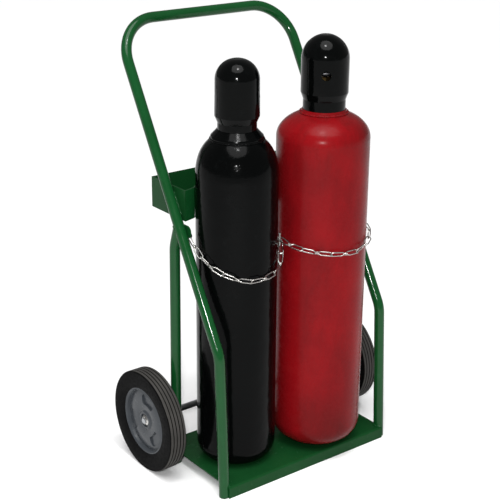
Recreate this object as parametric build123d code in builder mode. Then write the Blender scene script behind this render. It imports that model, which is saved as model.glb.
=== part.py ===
"""Two-wheel hand cart for an oxygen and an acetylene cylinder, with both capped cylinders on it.

Millimetres, +Z up, +X to the cart's right seen from the front, +Y to the rear.
The floor is z = 0 and the origin is under the middle of the whole cart.
"""
from build123d import *
import math
import os

os.makedirs("parts", exist_ok=True)

# ---------------------------------------------------------------- driving dimensions
tube_r = 12.7                 # one-inch tube
tube_wall = 1.65
sheet = 3.0                   # base plate and brackets
gap = 0.3                     # between pieces that move apart

axle_y = 34.4                 # axle, behind the middle of the cart's footprint
wheel_r = 127.0
axle_z = wheel_r
axle_r = 7.94

side_x = 248.0                # tube centre lines, each side of the middle
foot_y = axle_y - 228.0
knee_y = axle_y - 208.7
knee_z = 356.0
handle_y = axle_y + 199.0
handle_z = 1061.0
knee_bend = 70.0
handle_bend = 101.6
foot_lift = 1.0

post_foot_y = axle_y - 26.5
post_top_y = axle_y - 33.0
post_bend_z = 575.0
post_end_z = 640.0
post_lean_in = 22.0           # how far the post's top end turns forward into the leg

plate_top = 30.0
plate_half = 245.0
plate_front = foot_y - tube_r - sheet - 0.4
plate_rear = axle_y + 32.0
plate_bend = 5.0

tray_bottom = 639.0
tray_top = 713.0
tray_sheet = 2.0
tray_half = side_x - tube_r
tray_front = axle_y - 50.0
tray_tip = 9.0                # how far the tray's front corners reach ahead of its front edge
tray_rear = axle_y + 80.0
cradle_x = 127.5              # each scallop's centre
cradle_y = axle_y - 120.0
cradle_r = 103.0

ox_x, ox_y, ox_r = -130.0, axle_y - 114.7, 95.5
ac_x, ac_y, ac_r = 87.5, axle_y - 159.2, 110.0
stand_z = plate_top + gap     # where both cylinders stand

divider_x = -30.5             # the bar that stands in the gap between the cylinders
hook_y = axle_y - 150.5
hook_z = 574.0                # height of the lower chain's last loop on the hook
hook_step = 7.0               # the other chain's loop sits this much higher
hook_r = 2.5
stud_y = axle_y - 60.0
stud_z = 603.0
stud_r = 2.5

wire_r = 1.4                  # chain wire
loop_half = 5.6               # half width of a chain loop, at the wire's centre
knot_r = 3.4
chain_off = 8.2               # chain joints stand this far off the cylinder wall
link_turn = 64.0              # degrees that the first link of each pair is turned about the chain
loops_left = 11
loops_right = 14


def save(part, label):
    """Label one finished piece and write it to its own file."""
    part.label = label
    export_step(part, f"parts/{label}.step")


def upright(x, y, z=0.0):
    """A plane to draw a turned profile on: its X is radius and its Y is height."""
    return Plane(origin=(x, y, z), x_dir=(1, 0, 0), z_dir=(0, -1, 0))


def vertical_axis(x, y):
    return Axis((x, y, 0), (0, 0, 1))


# ---------------------------------------------------------------- frame
frame_points = [
    (-side_x, foot_y, foot_lift),
    (-side_x, knee_y, knee_z),
    (-side_x, handle_y, handle_z),
    (side_x, handle_y, handle_z),
    (side_x, knee_y, knee_z),
    (side_x, foot_y, foot_lift),
]
frame_radii = [knee_bend, handle_bend, handle_bend, knee_bend]


def bent_tube(points, radii, outer, inner):
    """A tube, or a rod when inner is 0, along straight runs joined by bends."""
    with BuildPart() as bent:
        with BuildLine() as path:
            FilletPolyline(*points, radius=radii)
        with BuildSketch(Plane(origin=path.line @ 0, z_dir=path.line % 0)):
            Circle(outer)
            if inner > 0:
                Circle(inner, mode=Mode.SUBTRACT)
        sweep(path=path.line)
    return bent.part


frame_tube = bent_tube(frame_points, frame_radii, tube_r, tube_r - tube_wall)
frame_solid = bent_tube(frame_points, frame_radii, tube_r, 0)
save(frame_tube, "frame_tube")

post_solids = []
for side, name in ((-1, "left"), (1, "right")):
    post_points = [
        (side * side_x, post_foot_y, foot_lift),
        (side * side_x, post_top_y, post_bend_z),
        (side * side_x, post_top_y - post_lean_in, post_end_z),
    ]
    post_tube = bent_tube(post_points, [90.0], tube_r, tube_r - tube_wall)
    post_solids.append(bent_tube(post_points, [90.0], tube_r, 0))
    coped = post_tube - frame_solid
    rear_post = coped.solids().sort_by(SortBy.VOLUME)[-1]
    save(Part(rear_post.wrapped), f"rear_post_{name}")

# Base plate: one sheet with its front and rear edges turned down to the floor.
with BuildPart() as base_plate:
    with BuildSketch(Plane.YZ.offset(-plate_half)):
        with BuildLine():
            Polyline(
                (plate_front, 0),
                (plate_front, plate_top),
                (plate_rear, plate_top),
                (plate_rear, 0),
                (plate_rear - sheet, 0),
                (plate_rear - sheet, plate_top - sheet),
                (plate_front + sheet, plate_top - sheet),
                (plate_front + sheet, 0),
                close=True,
            )
        make_face()
    extrude(amount=2 * plate_half)
    outer_bends = base_plate.edges().filter_by(Axis.X).group_by(Axis.Z)[-1]
    fillet(outer_bends, plate_bend)
    inner_bends = (
        base_plate.edges()
        .filter_by(Axis.X)
        .filter_by_position(Axis.Z, plate_top - sheet - 0.1, plate_top - sheet + 0.1)
        .filter_by_position(Axis.Y, plate_front + 1, plate_rear - 1)
    )
    fillet(inner_bends, plate_bend - sheet)
    add(frame_solid, mode=Mode.SUBTRACT)
    for post_solid in post_solids:
        add(post_solid, mode=Mode.SUBTRACT)
save(base_plate.part, "base_plate")

# ---------------------------------------------------------------- tool tray
cradle_reach = math.sqrt(cradle_r**2 - (tray_front - cradle_y) ** 2)
with BuildSketch() as tray_plan:
    with BuildLine():
        for side in (-1, 1):
            Line((side * tray_half, tray_front - tray_tip), (side * (cradle_x + cradle_reach), tray_front))
            ThreePointArc(
                (side * (cradle_x + cradle_reach), tray_front),
                (side * cradle_x, cradle_y + cradle_r),
                (side * (cradle_x - cradle_reach), tray_front),
            )
            Line((side * (cradle_x - cradle_reach), tray_front), (0, tray_front))
            Line((side * tray_half, tray_front - tray_tip), (side * tray_half, tray_rear))
        Line((-tray_half, tray_rear), (tray_half, tray_rear))
    make_face()

with BuildSketch() as tray_inside:
    add(tray_plan.sketch)
    offset(amount=-tray_sheet, kind=Kind.INTERSECTION, mode=Mode.REPLACE)

with BuildPart() as tray_block:
    with BuildSketch(Plane.XY.offset(tray_bottom)):
        add(tray_plan.sketch)
    extrude(amount=tray_top - tray_bottom)
    with BuildSketch(Plane.XY.offset(tray_bottom + tray_sheet)):
        add(tray_inside.sketch)
    extrude(amount=tray_top - tray_bottom, mode=Mode.SUBTRACT)
    rear_corner = (
        tray_block.edges()
        .filter_by(Axis.X)
        .filter_by_position(Axis.Y, tray_rear - tray_sheet - 0.1, tray_rear + 0.1)
        .filter_by_position(Axis.Z, tray_bottom - 0.1, tray_bottom + 0.1)
    )
    fillet(rear_corner, 1.5)

# The scalloped front strip is its own sheet, welded into the folded pan.
with BuildPart() as front_zone:
    with BuildSketch(Plane.XY.offset(tray_bottom + tray_sheet)):
        with Locations((0, tray_front)):
            Rectangle(2 * (tray_half - tray_sheet), 2 * (cradle_y + cradle_r - tray_front + 10))
    extrude(amount=tray_top)

save(tray_block.part - front_zone.part, "tray_pan")
save(tray_block.part & front_zone.part, "tray_cradle")

# ---------------------------------------------------------------- divider bar and chain anchors
divider_sheet = 5.0
bar_low = hook_z - 22.0
bar_high = bar_low + 18.0
with BuildPart() as divider_bar:
    with BuildSketch(Plane.YZ.offset(divider_x - divider_sheet / 2)):
        with BuildLine():
            Polyline(
                (hook_y + 8, bar_low),
                (tray_front + 6, bar_low),
                (tray_front + 52, tray_bottom),
                (tray_front + 18, tray_bottom),
                (tray_front - 12, bar_high),
                (hook_y + 8, bar_high),
                close=True,
            )
        make_face()
    extrude(amount=divider_sheet)
    low_corner = divider_bar.edges().filter_by(Axis.X).group_by(Axis.Z)[0].sort_by(Axis.Y)[-1]
    fillet(low_corner, 14)
save(divider_bar.part, "divider_bar")

hook_level = (bar_low + bar_high) / 2
chain_hook = bent_tube(
    [(divider_x, hook_y + 8, hook_level), (divider_x, hook_y, hook_level), (divider_x, hook_y, hook_z + 21)],
    [6.0], hook_r, 0)
save(chain_hook, "chain_hook")

for side, name in ((-1, "left"), (1, "right")):
    tab_x = side * (side_x - tube_r)
    with BuildPart() as chain_tab:
        with BuildSketch(Plane(origin=(tab_x, stud_y + 4, stud_z + 12), z_dir=(-side, 0, 0))):
            RectangleRounded(30, 44, 13)
        extrude(amount=sheet)
    save(chain_tab.part, f"chain_tab_{name}")
    with BuildPart() as chain_stud:
        with BuildSketch(Plane(origin=(tab_x - side * sheet, stud_y, stud_z), z_dir=(-side, 0, 0))):
            Circle(stud_r)
        extrude(amount=8.5)
        with BuildSketch(Plane(origin=(tab_x - side * (sheet + 8.5), stud_y, stud_z), z_dir=(-side, 0, 0))):
            Circle(6.5)
        extrude(amount=2.0)
    save(chain_stud.part, f"chain_stud_{name}")

# ---------------------------------------------------------------- axle and wheels
wheel_face = 330.0            # outer tyre face, from the middle
tyre_width = 45.0
wheel_x = wheel_face - tyre_width / 2
rim_r = 86.0
hub_in = 266.0                # inner end of the hub's boss
hub_out = wheel_face - 8.0    # outer end of the hub's boss
bracket_half = 2.5
bore_r = 10.6
pocket_angles = (102, 222, 342)
axle_end = hub_out + 4.0

with BuildPart() as axle:
    with BuildSketch(Plane.YZ.offset(-axle_end)):
        with Locations((axle_y, axle_z)):
            Circle(axle_r)
    extrude(amount=2 * axle_end)
    chamfer(axle.edges().filter_by(GeomType.CIRCLE), 1.2)
save(axle.part, "axle")

for side, name in ((-1, "left"), (1, "right")):
    across = Plane(origin=(side * side_x - bracket_half, axle_y, axle_z), x_dir=(0, 1, 0), z_dir=(1, 0, 0))
    with BuildPart() as bracket:
        with BuildSketch(across):
            with BuildLine():
                Polyline((0, 17), (-30, 34), (-30, -34), (0, -17), close=True)
            make_face()
            Circle(17)
            Circle(axle_r, mode=Mode.SUBTRACT)
        extrude(amount=2 * bracket_half)
    bracket_plate = bracket.part - post_solids[0 if side < 0 else 1]
    bracket_plate = Part(bracket_plate.solids().sort_by(SortBy.VOLUME)[-1].wrapped)
    save(bracket_plate, f"axle_bracket_{name}")

    with BuildPart() as collar:
        with BuildSketch(Plane(origin=(side * (side_x + bracket_half), axle_y, axle_z), z_dir=(side, 0, 0))):
            Circle(12)
            Circle(axle_r, mode=Mode.SUBTRACT)
        extrude(amount=hub_in - side_x - bracket_half - 2.8)
        chamfer(collar.edges().group_by(Axis.X)[-1 if side > 0 else 0], 0.8)
    save(collar.part, f"axle_collar_{name}")

    with BuildPart() as washer:
        with BuildSketch(Plane(origin=(side * (hub_in - 2.7), axle_y, axle_z), z_dir=(side, 0, 0))):
            Circle(15)
            Circle(axle_r, mode=Mode.SUBTRACT)
        extrude(amount=2.4)
    save(washer.part, f"wheel_washer_{name}")

    # Wheel pieces are turned profiles: radius across, distance from the tyre's middle outwards.
    turn = Plane(origin=(side * wheel_x, axle_y, axle_z), x_dir=(0, 1, 0), z_dir=(0, 0, -side))
    spin = Axis((0, axle_y, axle_z), (1, 0, 0))
    half = tyre_width / 2
    with BuildPart() as tyre:
        with BuildSketch(turn):
            with BuildLine():
                Polyline((rim_r - 2, -19), (rim_r - 2, 19), (rim_r + 1, 19.6))
                ThreePointArc((rim_r + 1, 19.6), (99, half - 0.9), (112, half))
                Line((112, half), (122.5, half))
                ThreePointArc((122.5, half), (125.6, half - 1.1), (wheel_r, half - 3.6))
                Line((wheel_r, half - 3.6), (wheel_r, -half + 3.6))
                ThreePointArc((wheel_r, -half + 3.6), (125.6, -half + 1.1), (122.5, -half))
                Line((122.5, -half), (112, -half))
                ThreePointArc((112, -half), (99, -half + 0.9), (rim_r + 1, -19.6))
                Line((rim_r + 1, -19.6), (rim_r - 2, -19))
            make_face()
            with GridLocations(0, 9.0, 1, 4):
                with Locations((wheel_r, 0)):
                    Rectangle(5.0, 2.4, mode=Mode.SUBTRACT)
        revolve(axis=spin)
    save(tyre.part, f"tyre_{name}")

    inner_end = hub_in - wheel_x
    outer_end = hub_out - wheel_x
    with BuildPart() as hub:
        with BuildSketch(turn):
            with BuildLine():
                Polyline(
                    (bore_r, inner_end), (19, inner_end), (19, -6), (44, 0), (73, -4), (75, -18),
                    (rim_r - 2, -18), (rim_r - 2, 18), (rim_r - 5, 18.6), (78, 15), (76, 8.5))
                ThreePointArc((76, 8.5), (52, 12.8), (26, outer_end - 3))
                Polyline((26, outer_end - 3), (21, outer_end), (17, outer_end), (15.5, outer_end - 4),
                         (bore_r, outer_end - 4), (bore_r, inner_end))
            make_face()
        revolve(axis=spin)
        hub_face = Plane(origin=(side * (wheel_x + 25), axle_y, axle_z), x_dir=(0, 1, 0), z_dir=(1, 0, 0))
        with BuildSketch(hub_face) as pockets:
            for turn_to in pocket_angles:
                with BuildLine():
                    outer_lip = CenterArc((0, 0), 67, turn_to - 25, 50)
                    inner_lip = CenterArc((0, 0), 42, turn_to - 25, 50)
                    Line(outer_lip @ 0, inner_lip @ 0)
                    Line(outer_lip @ 1, inner_lip @ 1)
                make_face()
            fillet(pockets.vertices(), 7)
        extrude(amount=-side * 17.0, mode=Mode.SUBTRACT)
    save(hub.part, f"wheel_hub_{name}")

    with BuildPart() as bushing:
        with BuildSketch(Plane(origin=(side * hub_in, axle_y, axle_z), z_dir=(side, 0, 0))):
            Circle(bore_r)
            Circle(axle_r + 0.05, mode=Mode.SUBTRACT)
        extrude(amount=hub_out - 4 - hub_in)
    save(bushing.part, f"hub_bushing_{name}")

    nut_in = hub_out - wheel_x - 3.5
    with BuildPart() as push_nut:
        with BuildSketch(turn):
            with BuildLine():
                Polyline((13, nut_in), (13, nut_in + 1.6), (9.6, nut_in + 4.4), (axle_r, nut_in + 4.8),
                         (axle_r, nut_in + 3.2), (9.0, nut_in + 2.8), (12, nut_in), (13, nut_in))
            make_face()
        revolve(axis=spin)
        with BuildSketch(hub_face):
            with PolarLocations(axle_r, 6):
                Rectangle(5, 2)
        extrude(amount=-side * 30, mode=Mode.SUBTRACT)
    save(push_nut.part, f"push_nut_{name}")

# ---------------------------------------------------------------- gas cylinders
def turned(x, y, outline):
    """A solid of revolution about the upright axis at (x, y); outline draws its half profile."""
    with BuildPart() as piece:
        with BuildSketch(upright(x, y, stand_z)):
            with BuildLine():
                outline()
            make_face()
        revolve(axis=vertical_axis(x, y))
    return piece.part


def dome_height(r, wide, tall, base, fullness):
    """Height of a shoulder at radius r; fullness 2 is an ellipse, and more is squarer."""
    return base + tall * (1 - (r / wide) ** fullness) ** (1 / fullness)


def shoulder_arcs(wide, tall, base, fullness, radii):
    """Arcs down a shoulder from its edge: each pair of radii is one arc's middle and its end."""
    spots = [(r, dome_height(r, wide, tall, base, fullness)) for r in (wide, *radii)]
    for start, middle, end in zip(spots[0::2], spots[1::2], spots[2::2]):
        ThreePointArc(start, middle, end)
    return spots[-1]


# Oxygen: a drawn steel bottle with a domed shoulder and a thick neck.
ox_wall = 6.0
ox_shoulder = 715.0
ox_dome = 105.0
ox_fullness = 2.3
ox_neck_r = 33.0
ox_neck_top = 837.0
stem_r = 12.9


def oxygen_outside():
    ThreePointArc((0, 9), (28, 6.2), (54, 0))
    heel = ox_r - 54
    heel_mid = heel * math.sin(math.pi / 4)
    ThreePointArc((54, 0), (54 + heel_mid, heel - heel_mid), (ox_r, heel))
    Line((ox_r, heel), (ox_r, ox_shoulder))
    neck = shoulder_arcs(ox_r, ox_dome, ox_shoulder, ox_fullness, (94, 88, 79, 66, 50, ox_neck_r))
    Polyline(neck, (ox_neck_r, ox_neck_top), (0, ox_neck_top), (0, 9))


def oxygen_inside():
    ThreePointArc((0, 16), (28, 14), (50, 9))
    side = ox_r - ox_wall
    ThreePointArc((50, 9), (side - 10, 19), (side, 46))
    Line((side, 46), (side, ox_shoulder))
    crown = shoulder_arcs(side, ox_dome - ox_wall, ox_shoulder, ox_fullness, (86, 80, 66, 50, 38, 24))
    Polyline(crown, (stem_r, 818), (stem_r, ox_neck_top + 1), (0, ox_neck_top + 1), (0, 16))


ox_body = turned(ox_x, ox_y, oxygen_outside)
save(ox_body - turned(ox_x, ox_y, oxygen_inside), "oxygen_shell")

ox_cap_low = 824.0
ox_thread_r = 41.4


def oxygen_ring():
    Polyline((ox_neck_r, 838), (ox_thread_r, 838), (ox_thread_r, ox_cap_low), (46.5, ox_cap_low), (60, 810),
             (61, 807), (61, 785), (ox_neck_r, 785), (ox_neck_r, 838))


save(turned(ox_x, ox_y, oxygen_ring) - ox_body, "oxygen_neck_ring")

# Acetylene: a welded shell with an elliptical head, a foot ring and a porous filling.
ac_wall = 4.0
ac_dome = 66.0
ac_side_top = 783.0
ac_neck_top = 866.0


def acetylene_profile(inset, top_r, top_h):
    """Half profile of the shell, or of its hollow when inset is the wall."""
    side = ac_r - inset
    corner = 50 - inset
    low = 6 + inset
    Line((0, low), (side - corner, low))
    corner_mid = corner * math.sin(math.pi / 4)
    flat = side - corner
    ThreePointArc((flat, low), (flat + corner_mid, low + corner - corner_mid), (side, low + corner))
    Line((side, low + corner), (side, ac_side_top))
    arc_radii = [side * share for share in (0.975, 0.92, 0.83, 0.7, 0.52)]
    crown = shoulder_arcs(side, ac_dome - inset, ac_side_top, 2, (*arc_radii, top_r))
    Polyline(crown, (top_r, top_h), (0, top_h), (0, low))


ac_body = turned(ac_x, ac_y, lambda: acetylene_profile(0, 27, ac_neck_top))
ac_hollow = turned(ac_x, ac_y, lambda: acetylene_profile(ac_wall, stem_r + 4, ac_neck_top - 12))
with BuildPart() as ac_bore:
    with BuildSketch(Plane.XY.offset(stand_z + ac_neck_top - 18)):
        with Locations((ac_x, ac_y)):
            Circle(stem_r)
    extrude(amount=30)
save(ac_body - ac_hollow - ac_bore.part, "acetylene_shell")
with BuildPart() as filler_core:
    with BuildSketch(Plane.XY.offset(stand_z + ac_neck_top - 32)):
        with Locations((ac_x, ac_y)):
            Circle(stem_r + gap)
    extrude(amount=40)
save(ac_hollow - filler_core.part, "acetylene_filler")


def acetylene_foot():
    Polyline((57, 0), (63, 0), (63, 30), (57, 30), (57, 0))


save(turned(ac_x, ac_y, acetylene_foot) - ac_body, "acetylene_foot_ring")

ac_cap_low = 849.0
ac_thread_r = 46.1


def acetylene_ring():
    Polyline((27, 864), (ac_thread_r, 864), (ac_thread_r, ac_cap_low), (51, ac_cap_low), (53.5, 844),
             (53.5, 820), (27, 820), (27, 864))


save(turned(ac_x, ac_y, acetylene_ring) - ac_body, "acetylene_neck_ring")


# ---------------------------------------------------------------- valve caps
cap_wall = 3.5


def cap_profile(low, skirt_r, cone_low, belly_r, belly_low, top_r, dome_low, dome, inset):
    """Half profile of a cap, or of its hollow when inset is the wall."""
    rise = dome - inset
    reach = top_r - inset
    tilt = math.radians(45)
    Polyline((0, low), (skirt_r - inset, low), (skirt_r - inset, cone_low + inset * 0.4),
             (belly_r - inset, belly_low + inset * 0.4), (reach, dome_low))
    ThreePointArc((reach, dome_low), (reach * math.cos(tilt), dome_low + rise * math.sin(tilt)),
                  (reach * 0.24, dome_low + rise * 0.97))
    Polyline((reach * 0.24, dome_low + rise * 0.97), (0, dome_low + rise * 0.985), (0, low))


def vented_cap(x, y, sizes, vent_r, vent_h, vent_angle):
    """A hollow cap with one vent hole on each side."""
    outside = turned(x, y, lambda: cap_profile(*sizes, 0))
    hollow = turned(x, y, lambda: cap_profile(sizes[0] - 1, *sizes[1:], cap_wall))
    toward = math.radians(vent_angle)
    along = Plane(origin=(x, y, stand_z + vent_h), z_dir=(math.cos(toward), math.sin(toward), 0))
    with BuildPart() as vents:
        with BuildSketch(along.offset(-80)):
            Circle(vent_r)
        extrude(amount=160)
    return outside - hollow - vents.part


ox_cap_sizes = (ox_cap_low + gap, 45.0, 840.0, 51.5, 855.0, 50.5, 938.0, 45.7)
ac_cap_sizes = (ac_cap_low + gap, 49.7, 872.0, 55.5, 888.0, 55.5, 964.0, 57.3)
save(vented_cap(ox_x, ox_y, ox_cap_sizes, 9, 905, -40), "oxygen_cap")
save(vented_cap(ac_x, ac_y, ac_cap_sizes, 11, 935, -127.5), "acetylene_cap")

# ---------------------------------------------------------------- valves under the caps
spindle_r = 4.0
spindle_fit = 0.06


def valve_pieces(x, y, base, faces, outlet_r, outlet_hole):
    """Body, packing nut and handwheel of a cylinder valve that stands on a neck at height base."""
    outward = math.radians(faces)
    body_top = base + 46
    with BuildPart() as body:
        with BuildSketch(Plane.XY.offset(stand_z + base - 26)):
            with Locations((x, y)):
                Circle(stem_r)
        extrude(amount=27)
        with BuildSketch(Plane.XY.offset(stand_z + base + 1)):
            with Locations((x, y)):
                RectangleRounded(30, 30, 6, rotation=faces)
        extrude(amount=34)
        with BuildSketch(Plane.XY.offset(stand_z + base + 35)):
            with Locations((x, y)):
                Circle(13)
        extrude(amount=11)
        nose = Plane(origin=(x, y, stand_z + base + 20), z_dir=(math.cos(outward), math.sin(outward), 0))
        with BuildSketch(nose):
            Circle(outlet_r)
        extrude(amount=37)
        with BuildSketch(nose.offset(37.1)):
            Circle(outlet_hole)
        extrude(amount=-19.1, mode=Mode.SUBTRACT)
        with BuildSketch(nose.offset(20)):
            Circle(2.5)
        extrude(amount=-18, mode=Mode.SUBTRACT)
        with BuildSketch(Plane.XY.offset(stand_z + body_top + 0.1)):
            with Locations((x, y)):
                Circle(spindle_r + spindle_fit)
        extrude(amount=-16, mode=Mode.SUBTRACT)
    with BuildPart() as nut:
        with BuildSketch(Plane.XY.offset(stand_z + body_top)):
            with Locations((x, y)):
                RegularPolygon(12.5, 6)
                Circle(spindle_r + spindle_fit, mode=Mode.SUBTRACT)
        extrude(amount=11)
        chamfer(nut.edges().group_by(Axis.Z)[-1].filter_by(GeomType.LINE), 1.5)
    rim_h = stand_z + body_top + 22
    with BuildPart() as wheel:
        with BuildSketch(Plane.XY.offset(stand_z + body_top - 12)):
            with Locations((x, y)):
                Circle(spindle_r)
        extrude(amount=42)
        with BuildSketch(Plane.XY.offset(rim_h - 6)):
            with Locations((x, y)):
                Circle(8)
        extrude(amount=12)
        with BuildSketch(upright(x, y, rim_h)):
            with Locations((26.5, 0)):
                Ellipse(4.2, 5.2)
        revolve(axis=vertical_axis(x, y))
        with BuildSketch(Plane.XY.offset(rim_h - 2)):
            with Locations((x, y)):
                with PolarLocations(15.5, 5):
                    Rectangle(17, 7)
        extrude(amount=4)
    return body.part, nut.part, wheel.part


for gas, x, y, base, faces, outlet_r, outlet_hole in (
    ("oxygen", ox_x, ox_y, ox_neck_top, -90, 11.4, 6.2),
    ("acetylene", ac_x, ac_y, ac_neck_top, -60, 14.0, 11.2),
):
    body, nut, wheel = valve_pieces(x, y, base, faces, outlet_r, outlet_hole)
    save(body, f"{gas}_valve_body")
    save(nut, f"{gas}_packing_nut")
    save(wheel, f"{gas}_handwheel")

with BuildPart() as safety_plug:
    with BuildSketch(Plane(origin=(ox_x, ox_y + 15, stand_z + ox_neck_top + 20), z_dir=(0, 1, 0))):
        RegularPolygon(9, 6)
    extrude(amount=12)
save(safety_plug.part, "oxygen_safety_plug")

# ---------------------------------------------------------------- chains
hang_left = [(0.0, 603), (0.17, 569), (0.36, 539), (0.54, 523), (0.73, 528), (0.86, 543), (1.0, hook_z)]
hang_right = [(0.0, hook_z + hook_step), (0.13, 570), (0.39, 558), (0.53, 567), (0.63, 579), (1.0, 603)]
stud_x = side_x - tube_r - sheet - 4.2
pin_hold = hook_r + wire_r + 0.35


def eased(table, t):
    """Height at fraction t along a chain, on a smooth curve through the hanging heights."""
    last = len(table) - 1
    slopes = []
    for i in range(last + 1):
        before = table[max(i - 1, 0)]
        after = table[min(i + 1, last)]
        slopes.append((after[1] - before[1]) / (after[0] - before[0]))
    for i in range(last):
        (t0, z0), (t1, z1) = table[i], table[i + 1]
        if t <= t1:
            span = t1 - t0
            u = (t - t0) / span
            return (
                z0 * (1 + 2 * u) * (1 - u) ** 2
                + slopes[i] * span * u * (1 - u) ** 2
                + z1 * u * u * (3 - 2 * u)
                + slopes[i + 1] * span * u * u * (u - 1)
            )
    return table[-1][1]


def chain_joints(start, end, centre, radius, table, loops):
    """Evenly spaced joints from start to end, wrapped round the front of a cylinder."""
    def tangent_angle(point, turn):
        dx = point[0] - centre[0]
        dy = point[1] - centre[1]
        away = math.hypot(dx, dy)
        return math.degrees(math.atan2(dy, dx)) + turn * math.degrees(math.acos(radius / away))

    first = tangent_angle(start, 1) % 360
    last = tangent_angle(end, -1) % 360
    if last < first:
        last += 360
    on = [
        (centre[0] + radius * math.cos(math.radians(a)), centre[1] + radius * math.sin(math.radians(a)))
        for a in (first, last)
    ]
    lead = math.dist(start, on[0])
    wrap = radius * math.radians(last - first)
    tail = math.dist(on[1], end)
    whole = lead + wrap + tail

    def place(t):
        s = t * whole
        if s < lead:
            k = s / lead
            x = start[0] + (on[0][0] - start[0]) * k
            y = start[1] + (on[0][1] - start[1]) * k
        elif s < lead + wrap:
            a = math.radians(first) + (s - lead) / radius
            x = centre[0] + radius * math.cos(a)
            y = centre[1] + radius * math.sin(a)
        else:
            k = (s - lead - wrap) / tail
            x = on[1][0] + (end[0] - on[1][0]) * k
            y = on[1][1] + (end[1] - on[1][1]) * k
        return Vector(x, y, eased(table, t))

    steps = 1200
    fine = [place(i / steps) for i in range(steps + 1)]
    run = [0.0]
    for i in range(steps):
        run.append(run[-1] + (fine[i + 1] - fine[i]).length)
    joints = []
    for n in range(loops + 1):
        want = run[-1] * n / loops
        i = min(range(steps + 1), key=lambda j: abs(run[j] - want))
        joints.append(fine[i])
    return joints


def wire_loop(tail, head, across, reach):
    """One closed loop of chain wire: from a knot at tail, round past head by reach, and back."""
    ahead = (head - tail).normalized()
    side_way = (across - ahead * across.dot(ahead)).normalized()
    far = (head - tail).length + reach
    flat = [
        (0.0, 0.7), (8.0, loop_half), (far, loop_half), (far, -loop_half), (8.0, -loop_half), (0.0, -0.7),
    ]
    points = [tail + ahead * s + side_way * v for s, v in flat]
    return bent_tube(points, [6.0, loop_half - 0.1, loop_half - 0.1, 6.0], wire_r, 0)


def plain_loop(start, end, across, start_reach, end_reach):
    """A single closed loop round both of its ends."""
    middle = (start + end) * 0.5
    halves = []
    for tip, reach in ((start, start_reach), (end, end_reach)):
        ahead = (tip - middle).normalized()
        side_way = (across - ahead * across.dot(ahead)).normalized()
        far = (tip - middle).length + reach
        flat = [(0.0, loop_half), (far, loop_half), (far, -loop_half), (0.0, -loop_half)]
        points = [middle + ahead * s + side_way * v for s, v in flat]
        halves.append(bent_tube(points, [loop_half - 0.1, loop_half - 0.1], wire_r, 0))
    return halves[0] + halves[1]


def hang_chain(joints, start_across, end_across, centre):
    """Double-loop links: each is a knot with a loop both ways; neighbouring loops sit crosswise."""
    links = []
    loops = len(joints) - 1
    lengthways = 1.55
    for k in range(loops):
        here, there = joints[k], joints[k + 1]
        middle = (here + there) * 0.5
        radial = Vector(middle.X - centre[0], middle.Y - centre[1], 0).normalized()
        lift = Vector(0, 0, 1)
        spin_to = math.radians(link_turn + 90 * (k % 2))
        across = radial * math.cos(spin_to) + lift * math.sin(spin_to)
        if k == 0:
            across = start_across
        if k == loops - 1:
            across = end_across
        knot_first = k % 2 == 1
        if k == loops - 1 and not knot_first:
            links.append(plain_loop(here, there, across, lengthways, pin_hold + 0.8))
        elif knot_first:
            reach = pin_hold if k == loops - 1 else lengthways
            links[-1] = links[-1] + wire_loop(here, there, across, reach)
        else:
            reach = pin_hold if k == 0 else lengthways
            piece = wire_loop(there, here, across, reach)
            with BuildPart() as knot:
                with BuildSketch(Plane(origin=there, z_dir=(there - here).normalized()).offset(-3.2)):
                    Circle(knot_r)
                extrude(amount=6.4)
                fillet(knot.edges().filter_by(GeomType.CIRCLE), 1.6)
            links.append(piece + knot.part)
    return Compound(children=[Part(link.wrapped) for link in links])


left_joints = chain_joints(
    (-stud_x, stud_y), (divider_x, hook_y), (ox_x, ox_y), ox_r + chain_off, hang_left, loops_left)
right_joints = chain_joints(
    (divider_x, hook_y), (stud_x, stud_y), (ac_x, ac_y), ac_r + chain_off, hang_right, loops_right)
upward = Vector(0, 0, 1)
save(hang_chain(left_joints, upward, Vector(1, -0.8, 0), (ox_x, ox_y)), "chain_left")
save(hang_chain(right_joints, Vector(1, 0, 0.5), upward, (ac_x, ac_y)), "chain_right")
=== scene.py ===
"""Oxygen and acetylene cylinder cart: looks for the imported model. Metres, +Z up, front towards -Y."""
import math

import bpy
from mathutils import Matrix, Vector


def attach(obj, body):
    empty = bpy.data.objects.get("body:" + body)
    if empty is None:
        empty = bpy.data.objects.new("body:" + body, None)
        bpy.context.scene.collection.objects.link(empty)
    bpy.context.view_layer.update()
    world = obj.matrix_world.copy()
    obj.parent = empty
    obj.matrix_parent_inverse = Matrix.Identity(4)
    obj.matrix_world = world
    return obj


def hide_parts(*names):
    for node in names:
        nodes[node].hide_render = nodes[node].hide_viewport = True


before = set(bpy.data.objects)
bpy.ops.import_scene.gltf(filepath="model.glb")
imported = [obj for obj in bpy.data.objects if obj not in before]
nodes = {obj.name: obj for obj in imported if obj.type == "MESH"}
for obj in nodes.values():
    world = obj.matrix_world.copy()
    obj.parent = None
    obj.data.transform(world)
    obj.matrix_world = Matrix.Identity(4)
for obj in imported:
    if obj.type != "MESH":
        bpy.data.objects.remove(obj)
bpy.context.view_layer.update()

# Driving dimensions, in millimetres from the middle of the cart's foot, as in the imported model.
MM = 0.001
AXLE_Y = 34.4
WHEEL_R = 127.0
SIDE_X = 248.0
TUBE_R = 12.7
KNEE_Y, KNEE_Z = AXLE_Y - 208.7, 356.0
HANDLE_Y, HANDLE_Z = AXLE_Y + 199.0, 1061.0
RAIL_SLOPE = (HANDLE_Y - KNEE_Y) / (HANDLE_Z - KNEE_Z)
FRONT_FOOT_Y = AXLE_Y - 226.4
POST_FOOT_Y = AXLE_Y - 26.5
POST_TOP_Y, POST_TOP_Z = AXLE_Y - 33.0, 575.0
POST_BEND = (0, -22.0, 65.0)            # direction of a rear post above its bend
PLATE_TOP = 30.0
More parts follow.
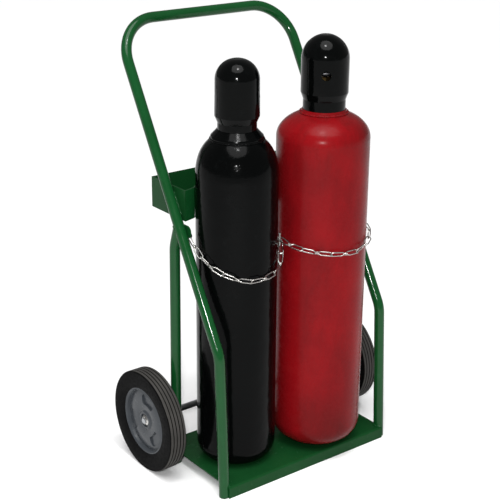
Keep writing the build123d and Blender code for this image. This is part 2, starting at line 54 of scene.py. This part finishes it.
STAND_Z = PLATE_TOP + 0.3               # the cylinders stand at this height
OX = (-130.0, AXLE_Y - 114.7, 95.5)     # oxygen cylinder: x, y and radius
AC = (87.5, AXLE_Y - 159.2, 110.0)
HOOK = (-30.5, AXLE_Y - 150.5)
STUD = (228.1, AXLE_Y - 60.0)

UP = Vector((0, 0, 1))
ACROSS = Vector((1, 0, 0))


# ------------------------------------------------------------------ materials
class Look:
    """One procedural material, built up from a Principled shader."""

    def __init__(self, name):
        self.mat = bpy.data.materials.new(name)
        self.mat.use_nodes = True
        self.tree = self.mat.node_tree
        self.shader = self.tree.nodes["Principled BSDF"]
        self.coords = self.tree.nodes.new("ShaderNodeTexCoord").outputs["Object"]
        self.normal = None

    def new(self, kind, **values):
        node = self.tree.nodes.new(kind)
        for key, value in values.items():
            setattr(node, key, value)
        return node

    def link(self, a, b):
        self.tree.links.new(a, b)

    def set(self, **values):
        for key, value in values.items():
            self.shader.inputs[key.replace("_", " ")].default_value = value

    def noise(self, scale, detail=4.0, rough=0.55, stretch=None):
        node = self.new("ShaderNodeTexNoise")
        node.inputs["Scale"].default_value = scale
        node.inputs["Detail"].default_value = detail
        node.inputs["Roughness"].default_value = rough
        source = self.coords
        if stretch:
            mapping = self.new("ShaderNodeMapping")
            mapping.inputs["Scale"].default_value = stretch
            self.link(self.coords, mapping.inputs["Vector"])
            source = mapping.outputs["Vector"]
        self.link(source, node.inputs["Vector"])
        return node.outputs["Fac"]

    def cells(self, scale):
        node = self.new("ShaderNodeTexVoronoi")
        node.inputs["Scale"].default_value = scale
        self.link(self.coords, node.inputs["Vector"])
        return node.outputs["Distance"]

    def ramp(self, source, low, high, low_to, high_to):
        """source between low and high becomes a value between low_to and high_to."""
        node = self.new("ShaderNodeMapRange")
        node.inputs["From Min"].default_value = low
        node.inputs["From Max"].default_value = high
        node.inputs["To Min"].default_value = low_to
        node.inputs["To Max"].default_value = high_to
        node.clamp = True
        self.link(source, node.inputs["Value"])
        return node.outputs["Result"]

    def stain(self, mask, colour):
        """One more colour over the base colour, or over the layers already there."""
        socket = self.shader.inputs["Base Color"]
        mix = self.new("ShaderNodeMix", data_type="RGBA")
        self.link(mask, mix.inputs["Factor"])
        if socket.links:
            self.link(socket.links[0].from_socket, mix.inputs["A"])
        else:
            mix.inputs["A"].default_value = socket.default_value[:]
        mix.inputs["B"].default_value = (*colour, 1)
        self.link(mix.outputs["Result"], socket)

    def paint(self, base, layers):
        """Base colour with (mask, colour) layers over it."""
        self.shader.inputs["Base Color"].default_value = (*base, 1)
        for mask, colour in layers:
            self.stain(mask, colour)

    def height(self):
        """Height above the floor, in metres."""
        node = self.new("ShaderNodeSeparateXYZ")
        self.link(self.coords, node.inputs["Vector"])
        return node.outputs["Z"]

    def times(self, a, b):
        """Where both masks are on."""
        node = self.new("ShaderNodeMath", operation="MULTIPLY")
        self.link(a, node.inputs[0])
        self.link(b, node.inputs[1])
        return node.outputs["Value"]

    def rough(self, source):
        self.link(source, self.shader.inputs["Roughness"])

    def bump(self, source, distance):
        """Relief from source, over any relief that is there already."""
        node = self.new("ShaderNodeBump")
        node.inputs["Distance"].default_value = distance
        node.inputs["Strength"].default_value = 1.0
        self.link(source, node.inputs["Height"])
        if self.normal is not None:
            self.link(self.normal, node.inputs["Normal"])
        self.normal = node.outputs["Normal"]
        self.link(self.normal, self.shader.inputs["Normal"])


def enamel(name, colour, deep, pale, rough=(0.16, 0.34), peel=0.00003, wave=0.0004, specular=0.5):
    """Sprayed enamel: patchy sheen, orange peel, dust in the hollows and a few scuffs."""
    look = Look(name)
    broad = look.noise(5.0, 5.0, 0.6)
    dust = look.noise(38.0, 6.0, 0.7)
    scuff = look.noise(60.0, 8.0, 0.75, stretch=(1.0, 1.0, 0.12))
    look.paint(colour, [
        (look.ramp(broad, 0.38, 0.66, 0.0, 0.75), deep),
        (look.ramp(dust, 0.56, 0.78, 0.0, 0.35), pale),
        (look.ramp(scuff, 0.69, 0.76, 0.0, 0.5), pale),
    ])
    look.rough(look.ramp(dust, 0.3, 0.75, rough[0], rough[1]))
    look.set(Specular_IOR_Level=specular)
    look.bump(look.noise(420.0, 2.0, 0.5), peel)
    look.bump(look.noise(22.0, 3.0, 0.5), wave)
    return look


green = enamel("green_enamel", (0.005, 0.058, 0.014), (0.0035, 0.044, 0.010), (0.016, 0.085, 0.03),
               rough=(0.08, 0.18), specular=0.22)
green_sheet = enamel("green_sheet", (0.006, 0.05, 0.013), (0.004, 0.036, 0.009), (0.016, 0.072, 0.027),
                     rough=(0.16, 0.32), specular=0.08)
red = enamel("red_enamel", (0.205, 0.0035, 0.0055), (0.15, 0.003, 0.005), (0.24, 0.012, 0.012),
             rough=(0.2, 0.36), specular=0.08)

# darker patches on the red cylinder, near its foot and over its shoulder, and long faint darker smears
# the darker colour laid in patches, darker towards the foot and over the shoulder
dark_patch_colour = (0.022, 0.006, 0.005)
heel = red.ramp(red.height(), 0.03, 0.2, 1.0, 0.0)
shoulder = red.ramp(red.height(), 0.68, 0.84, 0.0, 0.8)
patches = red.ramp(red.noise(6.0, 6.0, 0.6, stretch=(1.0, 1.0, 0.5)), 0.42, 0.62, 0.0, 0.9)
smears = red.ramp(red.noise(9.0, 7.0, 0.65, stretch=(1.0, 1.0, 0.35)), 0.47, 0.7, 0.0, 0.75)
red.stain(red.times(heel, patches), dark_patch_colour)
red.stain(red.times(shoulder, patches), dark_patch_colour)
red.stain(smears, (0.105, 0.003, 0.004))

black = enamel("black_enamel", (0.0012, 0.0014, 0.0014), (0.0008, 0.001, 0.001), (0.005, 0.006, 0.006),
               rough=(0.09, 0.18), peel=0.00004, wave=0.0012, specular=0.06)
black.bump(black.ramp(black.cells(210.0), 0.05, 0.3, 0.0, 1.0), 0.0001)
cap_gloss = enamel("cap_enamel", (0.0013, 0.0016, 0.0015), (0.0008, 0.001, 0.001), (0.004, 0.005, 0.005),
                   rough=(0.07, 0.15), wave=0.0014, specular=0.09)


def hub_look():
    look = Look("hub_grey")
    fine = look.noise(90.0, 5.0, 0.6)
    look.paint((0.045, 0.050, 0.056), [
        (look.ramp(look.noise(14.0), 0.4, 0.65, 0.0, 0.5), (0.043, 0.049, 0.056)),
        (look.ramp(fine, 0.62, 0.85, 0.0, 0.25), (0.085, 0.092, 0.1)),
    ])
    look.rough(look.ramp(fine, 0.3, 0.7, 0.16, 0.3))
    look.set(Specular_IOR_Level=0.16)
    look.bump(look.noise(300.0, 3.0), 0.00008)
    return look


def rubber_look(name, base, worn):
    look = Look(name)
    grain = look.noise(160.0, 6.0, 0.65)
    look.paint(base, [
        (look.ramp(look.noise(18.0, 6.0), 0.42, 0.7, 0.0, 0.6), worn),
        (look.ramp(grain, 0.58, 0.8, 0.0, 0.5), worn),
    ])
    look.rough(look.ramp(grain, 0.3, 0.7, 0.48, 0.72))
    look.bump(look.noise(700.0, 3.0), 0.00006)
    look.bump(look.cells(240.0), 0.0001)
    look.set(Specular_IOR_Level=0.04)
    return look


def metal_look(name, base, dull, rough, brushed=(1.0, 1.0, 1.0)):
    look = Look(name)
    streak = look.noise(260.0, 6.0, 0.6, stretch=brushed)
    look.paint(base, [
        (look.ramp(look.noise(60.0, 5.0), 0.42, 0.68, 0.0, 0.7), dull),
        (look.ramp(streak, 0.55, 0.75, 0.0, 0.45), dull),
    ])
    look.rough(look.ramp(streak, 0.3, 0.7, rough[0], rough[1]))
    look.set(Metallic=1.0)
    look.bump(streak, 0.00005)
    return look


hub_grey = hub_look()
rubber = rubber_look("tyre_rubber", (0.0012, 0.0012, 0.0013), (0.003, 0.003, 0.003))
# a paler copy of the tyre rubber for the tread: painted light, standing in for the light the tread
# catches
tread_painted_light = rubber_look("tread_painted_light", (0.05, 0.048, 0.045), (0.03, 0.029, 0.027))
zinc = metal_look("zinc_plate", (0.5, 0.49, 0.47), (0.28, 0.27, 0.25), rough=(0.16, 0.3))
steel = metal_look("axle_steel", (0.36, 0.37, 0.38), (0.2, 0.2, 0.2), rough=(0.28, 0.45),
                   brushed=(0.1, 1, 1))
brass = metal_look("valve_brass", (0.62, 0.42, 0.16), (0.4, 0.26, 0.1), rough=(0.25, 0.42))
alloy = metal_look("handwheel_alloy", (0.1, 0.1, 0.105), (0.06, 0.06, 0.062), rough=(0.3, 0.5))
filler = rubber_look("filler_lime", (0.55, 0.52, 0.48), (0.42, 0.4, 0.37))


def use(look, *names):
    for name in names:
        mesh = nodes[name].data
        mesh.materials.clear()
        mesh.materials.append(look.mat)


use(green, "frame_tube", "tray_cradle", "divider_bar")
use(green_sheet, "base_plate", "tray_pan")
use(black, "oxygen_shell", "oxygen_neck_ring")
use(red, "acetylene_shell", "acetylene_foot_ring", "acetylene_neck_ring")
use(cap_gloss, "oxygen_cap", "acetylene_cap")
use(brass, "oxygen_valve_body", "oxygen_packing_nut", "oxygen_safety_plug", "acetylene_valve_body",
    "acetylene_packing_nut")
use(alloy, "oxygen_handwheel", "acetylene_handwheel")
use(filler, "acetylene_filler")
use(steel, "axle")
use(zinc, "chain_hook")
for side in ("left", "right"):
    use(green, f"rear_post_{side}", f"chain_tab_{side}", f"axle_bracket_{side}")
    use(rubber, f"tyre_{side}")
    use(hub_grey, f"wheel_hub_{side}")
    use(steel, f"hub_bushing_{side}")
    use(zinc, f"axle_collar_{side}", f"wheel_washer_{side}", f"push_nut_{side}", f"chain_stud_{side}",
        f"chain_{side}")


# ------------------------------------------------------------------ mesh helpers
def mesh_object(name, verts, faces, look, body):
    """A smooth mesh, given in millimetres, that rides on a body."""
    mesh = bpy.data.meshes.new(name)
    mesh.from_pydata([Vector(v) * MM for v in verts], [], faces)
    mesh.validate()
    mesh.update()
    for face in mesh.polygons:
        face.use_smooth = True
    mesh.materials.append(look.mat)
    obj = bpy.data.objects.new(name, mesh)
    bpy.context.collection.objects.link(obj)
    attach(obj, body)
    return obj


def sweep(points, radius, sides=8):
    """Vertices and faces of a round bar along points; radius is a number or one per point."""
    points = [Vector(p) for p in points]
    last = len(points) - 1
    radii = radius if isinstance(radius, list) else [radius] * len(points)
    verts, faces = [], []
    along = (points[1] - points[0]).normalized()
    normal = along.orthogonal().normalized()
    for i, point in enumerate(points):
        along = (points[min(i + 1, last)] - points[max(i - 1, 0)]).normalized()
        normal = (normal - along * normal.dot(along)).normalized()
        binormal = along.cross(normal)
        for k in range(sides):
            a = 2 * math.pi * k / sides
            verts.append(point + (normal * math.cos(a) + binormal * math.sin(a)) * radii[i])
    for here in range(0, last * sides, sides):
        there = here + sides
        for k in range(sides):
            n = (k + 1) % sides
            faces.append((here + k, here + n, there + n, there + k))
    faces.append(tuple(reversed(range(sides))))
    faces.append(tuple(last * sides + k for k in range(sides)))
    return verts, faces


def joined(parts):
    """Several (vertices, faces) pairs as one."""
    verts, faces = [], []
    for part_verts, part_faces in parts:
        base = len(verts)
        verts.extend(part_verts)
        faces.extend(tuple(i + base for i in face) for face in part_faces)
    return verts, faces


def resampled(points, step):
    """The same line with points about step apart."""
    points = [Vector(p) for p in points]
    out = [points[0]]
    for a, b in zip(points, points[1:]):
        pieces = max(1, round((b - a).length / step))
        out.extend(a.lerp(b, i / pieces) for i in range(1, pieces + 1))
    return out


RIPPLE = 3.0    # spacing of the ripples in a weld bead


def weld(points, size):
    """A weld bead along points, with the ripples a moving arc leaves."""
    line = resampled(points, 0.75)
    run = 0.0
    radii = []
    for i, point in enumerate(line):
        if i:
            run += (point - line[i - 1]).length
        swell = abs(math.sin(math.pi * run / RIPPLE))
        drift = 0.12 * math.sin(run * 0.37) + 0.08 * math.sin(run * 0.91)
        radii.append(size * (0.82 + 0.2 * swell + drift))
    radii[0] *= 0.5
    radii[-1] *= 0.5
    return sweep(line, radii)


# ------------------------------------------------------------------ welds
SEAM = 0.6      # a bead's middle, off the tube's surface


def rail_y(z):
    """Middle of a side rail at height z, above its knee."""
    return KNEE_Y + (z - KNEE_Z) * RAIL_SLOPE


def foot_bead(x, y, side):
    """Bead round the inner side of a tube where it passes the base plate's edge."""
    out = TUBE_R + SEAM
    arc = []
    for degrees in range(-74, 75, 6):
        a = math.radians(degrees)
        arc.append((x - side * out * math.cos(a), y + out * math.sin(a), PLATE_TOP + 0.9))
    return weld(arc, 2.2)


def post_top_bead(x):
    """Bead round the coped top of a rear post, where the tube meets the rail above it."""
    post = Vector(POST_BEND).normalized()
    front = post.cross(ACROSS).normalized()
    rail = Vector((0, RAIL_SLOPE, 1)).normalized()
    on_rail = Vector((x, rail_y(600.0), 600.0))
    ring = []
    for degrees in range(0, 361, 6):
        a = math.radians(degrees)
        wall = Vector((x, POST_TOP_Y, POST_TOP_Z)) + (ACROSS * math.cos(a) + front * math.sin(a)) * TUBE_R
        # up the post's wall from 30 mm below, to the first spot on the rail's surface
        for step in range(900):
            spot = wall + post * (step * 0.15 - 30)
            gap = spot - on_rail
            if (gap - rail * gap.dot(rail)).length <= TUBE_R + 0.2:
                ring.append(spot)
                break
    return weld(ring, 1.9)


beads = []
for side in (-1, 1):
    x = side * SIDE_X
    inner = x - side * (TUBE_R + SEAM)
    beads.append(foot_bead(x, FRONT_FOOT_Y, side))
    beads.append(foot_bead(x, POST_FOOT_Y - 0.3, side))
    # both edges of the tray's end, against the rail
    for shift in (-6.5, 6.5):
        tray_end = x - side * (TUBE_R - 1.2)
        beads.append(weld([(tray_end, rail_y(z) + shift, z) for z in (652, 672, 700)], 2.0))
    # both faces of the axle bracket, down the back of the post
    for face in (-3.6, 3.6):
        beads.append(weld([(x + face, POST_FOOT_Y + 10.9, z) for z in (98, 127, 156)], 2.0))
    # the chain's tab
    beads.append(weld([(inner, rail_y(z) + 7.5, z) for z in (607, 617, 628)], 1.8))
    beads.append(post_top_bead(x))
    # the divider bar under the tray
    beads.append(weld([(HOOK[0] + side * 3.0, AXLE_Y - 30.0 + run, 638.2) for run in (0, 14, 30)], 1.6))
mesh_object("weld_beads", *joined(beads), green, "cart")


def neck_bead(cylinder, radius, rise, size, look, body):
    """The weld that runs round a cylinder's neck, at a rise above its foot."""
    ring = []
    for k in range(121):
        a = math.tau * k / 120
        ring.append((cylinder[0] + radius * math.cos(a), cylinder[1] + radius * math.sin(a),
                     STAND_Z + rise))
    mesh_object(f"{body.split('_')[0]}_neck_weld", *weld(ring, size), look, body)


neck_bead(AC, 54.6, 841.5, 3.0, red, "acetylene_cylinder")
neck_bead(OX, 61.4, 802.2, 2.0, black, "oxygen_cylinder")


# ------------------------------------------------------------------ chains
WIRE = 1.4          # radius of the chain's wire
LOOP = 5.6          # half the width of a loop, at the wire's middle
KNOT = 2.5          # radius of the wire wound round a link's middle
LINK_TURN = 64      # degrees from straight out of the cylinder to the first loop's width
CHAIN_OFF = 8.2     # the chain's middle off the cylinder's wall
CHAIN_STEPS = 1200
# height of each chain at shares of its way round, from its left end to its right end
HANG_LEFT = [(0.0, 603), (0.17, 569), (0.36, 539), (0.54, 523), (0.73, 528), (0.86, 543), (1.0, 574)]
HANG_RIGHT = [(0.0, 581), (0.13, 570), (0.39, 558), (0.53, 567), (0.63, 579), (1.0, 603)]


def eased(table, t):
    """Smooth value at t through the (t, value) points of the table."""
    last = len(table) - 1
    slopes = []
    for i in range(last + 1):
        before, after = table[max(i - 1, 0)], table[min(i + 1, last)]
        slopes.append((after[1] - before[1]) / (after[0] - before[0]))
    for i in range(last):
        (t0, z0), (t1, z1) = table[i], table[i + 1]
        if t <= t1:
            span = t1 - t0
            u = (t - t0) / span
            return (z0 * (1 + 2 * u) * (1 - u) ** 2 + slopes[i] * span * u * (1 - u) ** 2
                    + z1 * u * u * (3 - 2 * u) + slopes[i + 1] * span * u * u * (u - 1))
    return table[-1][1]


def chain_joints(start, end, cylinder, table, loops):
    """Evenly spaced joints of a chain from start to end, round the front of a cylinder."""
    radius = cylinder[2] + CHAIN_OFF

    def touch(point, turn):
        """Angle at which the line from point touches the chain's way round."""
        dx, dy = point[0] - cylinder[0], point[1] - cylinder[1]
        return math.atan2(dy, dx) + turn * math.acos(radius / math.hypot(dx, dy))

    first, last = touch(start, 1) % math.tau, touch(end, -1) % math.tau
    if last < first:
        last += math.tau

    def round_at(a):
        return cylinder[0] + radius * math.cos(a), cylinder[1] + radius * math.sin(a)

    onto, off = round_at(first), round_at(last)
    lead, wrap, tail = math.dist(start, onto), radius * (last - first), math.dist(off, end)
    fine = []
    for i in range(CHAIN_STEPS + 1):
        s = (lead + wrap + tail) * i / CHAIN_STEPS
        if s < lead:
            spot = Vector(start).lerp(Vector(onto), s / lead)
        elif s < lead + wrap:
            spot = Vector(round_at(first + (s - lead) / radius))
        else:
            spot = Vector(off).lerp(Vector(end), (s - lead - wrap) / tail)
        fine.append(Vector((*spot, eased(table, i / CHAIN_STEPS))))
    run = [0.0]
    for a, b in zip(fine, fine[1:]):
        run.append(run[-1] + (b - a).length)
    joints = []
    for n in range(loops + 1):
        nearest = min(range(CHAIN_STEPS + 1), key=lambda j: abs(run[j] - run[-1] * n / loops))
        joints.append(fine[nearest])
    return joints


def loop_path(tail, head, across, reach, pinch=True):
    """Centre line of a wire loop from a knot at tail, out round past head by reach, and back."""
    ahead = (head - tail).normalized()
    out = (across - ahead * across.dot(ahead)).normalized()
    far = (head - tail).length + reach
    flat = []
    if pinch:
        for i in range(9):
            t = i / 8
            flat.append((1.5 + 8.0 * t, 1.2 + (LOOP - 1.2) * t * t * (3 - 2 * t)))
    else:
        flat.append((0.0, LOOP))
    centre = far - LOOP
    for i in range(13):
        a = math.pi / 2 - math.pi / 2 * i / 12
        flat.append((centre + LOOP * math.cos(a), LOOP * math.sin(a)))
    flat += [(s, -v) for s, v in reversed(flat[:-1])]
    return [tail + ahead * s + out * v for s, v in flat]


def coil(centre, ahead):
    """The wire end wound round a link's middle."""
    turns, length = 2.6, 6.4
    first = ahead.orthogonal().normalized()
    second = ahead.cross(first)
    steps = int(turns * 14)
    line = []
    for i in range(steps + 1):
        a = math.tau * turns * i / steps
        out = (first * math.cos(a) + second * math.sin(a)) * (KNOT + 0.3 * math.sin(a * 0.5))
        line.append(centre + ahead * (length * (i / steps - 0.5)) + out)
    return line


def chain_mesh(joints, first_across, last_across, cylinder):
    """Every loop of a chain. Each even loop and the odd one after it are one knotted link."""
    parts = []
    last = len(joints) - 2
    hang = 1.55                 # a loop's reach past the next one's knot
    grip = KNOT + WIRE + 0.35   # an end loop's reach, round a stud or the hook
    for k in range(last + 1):
        here, there = joints[k], joints[k + 1]
        middle = (here + there) * 0.5
        radial = Vector((middle.x - cylinder[0], middle.y - cylinder[1], 0)).normalized()
        turn = math.radians(LINK_TURN + 90 * (k % 2))
        across = radial * math.cos(turn) + UP * math.sin(turn)
        if k == 0:
            across = first_across
        if k == last:
            across = last_across
        if k == last and k % 2 == 0:
            # a closed loop at the end, as two halves that meet in its middle
            for tip, reach in ((here, hang), (there, grip + 0.8)):
                parts.append(sweep(loop_path(middle, tip, across, reach, pinch=False), WIRE))
        elif k % 2:
            parts.append(sweep(loop_path(here, there, across, grip if k == last else hang), WIRE))
        else:
            parts.append(sweep(loop_path(there, here, across, grip if k == 0 else hang), WIRE))
            parts.append(sweep(coil(there, (there - here).normalized()), WIRE * 0.95))
    return joined(parts)


left_joints = chain_joints((-STUD[0], STUD[1]), HOOK, OX, HANG_LEFT, 11)
right_joints = chain_joints(HOOK, STUD, AC, HANG_RIGHT, 14)
for side, joints, first, last, cylinder in (
    ("left", left_joints, UP, Vector((1, -0.8, 0)), OX),
    ("right", right_joints, Vector((1, 0, 0.5)), UP, AC),
):
    links = chain_mesh(joints, first, last, cylinder)
    chain = mesh_object(f"chain_{side}_links", *links, zinc, f"chain_{side}_swing")
    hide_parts(f"chain_{side}")


# ------------------------------------------------------------------ tyres' treads: paler rubber on the outer faces as painted light
for side in ("left", "right"):
    mesh = nodes[f"tyre_{side}"].data
    mesh.materials.append(tread_painted_light.mat)
    for face in mesh.polygons:
        from_axle = math.hypot(face.center.y - AXLE_Y * MM, face.center.z - WHEEL_R * MM)
        if from_axle > (WHEEL_R - 0.8) * MM:
            face.material_index = 1


# ------------------------------------------------------------------ soft edges on the CAD pieces
def soften(width, *names):
    """Round the sharp edges of CAD pieces; width is in millimetres."""
    for name in names:
        bevel = nodes[name].modifiers.new("soft_edge", "BEVEL")
        bevel.width = width * MM
        bevel.segments = 2
        bevel.limit_method = "ANGLE"
        bevel.angle_limit = math.radians(35)
        bevel.harden_normals = True


soften(0.6, "base_plate", "divider_bar", "oxygen_neck_ring", "acetylene_neck_ring", "oxygen_cap",
       "acetylene_cap")
soften(0.5, "tray_pan", "tray_cradle")
for side in ("left", "right"):
    soften(0.8, f"wheel_hub_{side}")
    soften(0.6, f"axle_bracket_{side}")
    soften(0.5, f"chain_tab_{side}")
    soften(0.4, f"tyre_{side}")

# ------------------------------------------------------------------ studio
bpy.ops.mesh.primitive_plane_add(size=80, location=(0, 20, 0))
floor = bpy.context.object
floor.name = "studio_floor"
floor_look = Look("studio_floor")
floor_look.paint((0.93, 0.93, 0.93), [
    (floor_look.ramp(floor_look.noise(3.0), 0.4, 0.6, 0.0, 0.4), (0.91, 0.91, 0.91))])
floor_look.rough(floor_look.ramp(floor_look.noise(20.0), 0.3, 0.7, 0.75, 0.9))
floor.data.materials.append(floor_look.mat)


LIT_SPOT = Vector((0, -0.05, 0.55))     # the middle of the cart, where the lamps point


def square_lamp(name, place, size, power):
    data = bpy.data.lights.new(name, "AREA")
    data.shape = "RECTANGLE"
    data.size = data.size_y = size
    data.energy = power
    lamp = bpy.data.objects.new(name, data)
    bpy.context.collection.objects.link(lamp)
    lamp.location = place
    lamp.rotation_euler = (LIT_SPOT - Vector(place)).to_track_quat("-Z", "Y").to_euler()


square_lamp("key", (-1.78, -2.2, 1.72), 0.1, 48)
square_lamp("overhead", (-0.5, -0.75, 3.0), 0.25, 12)

sun = bpy.data.lights.new("ceiling", "SUN")
sun.energy = 2.8
sun.angle = math.radians(50)
ceiling = bpy.data.objects.new("ceiling", sun)
bpy.context.collection.objects.link(ceiling)
ceiling.rotation_euler = (math.radians(14), math.radians(-10), 0)

world = bpy.data.worlds.new("studio")
world.use_nodes = True
background = world.node_tree.nodes["Background"]
background.inputs["Color"].default_value = (1, 1, 1, 1)
background.inputs["Strength"].default_value = 0.27
bpy.context.scene.world = world
bpy.context.scene.view_settings.view_transform = "Standard"

# ------------------------------------------------------------------ camera
# turned from the front towards the cart's left, raised above level, and a slight roll
AZ, EL, ROLL = math.radians(37.53), math.radians(20.67), math.radians(0.47)
back = Vector((-math.sin(AZ) * math.cos(EL), -math.cos(AZ) * math.cos(EL), math.sin(EL)))
level = (-back).cross(UP).normalized()
upright = level.cross(-back)
cam_x = level * math.cos(ROLL) + upright * math.sin(ROLL)
cam_y = upright * math.cos(ROLL) - level * math.sin(ROLL)
camera_data = bpy.data.cameras.new("camera")
camera_data.sensor_width = 36
camera_data.lens = 86.26
camera = bpy.data.objects.new("camera", camera_data)
bpy.context.collection.objects.link(camera)
turn = Matrix((cam_x, cam_y, back)).transposed().to_4x4()
camera.matrix_world = Matrix.Translation(Vector((-1.6955, -2.1694, 1.5482))) @ turn
camera_data.clip_start, camera_data.clip_end = 0.1, 60
bpy.context.scene.camera = camera
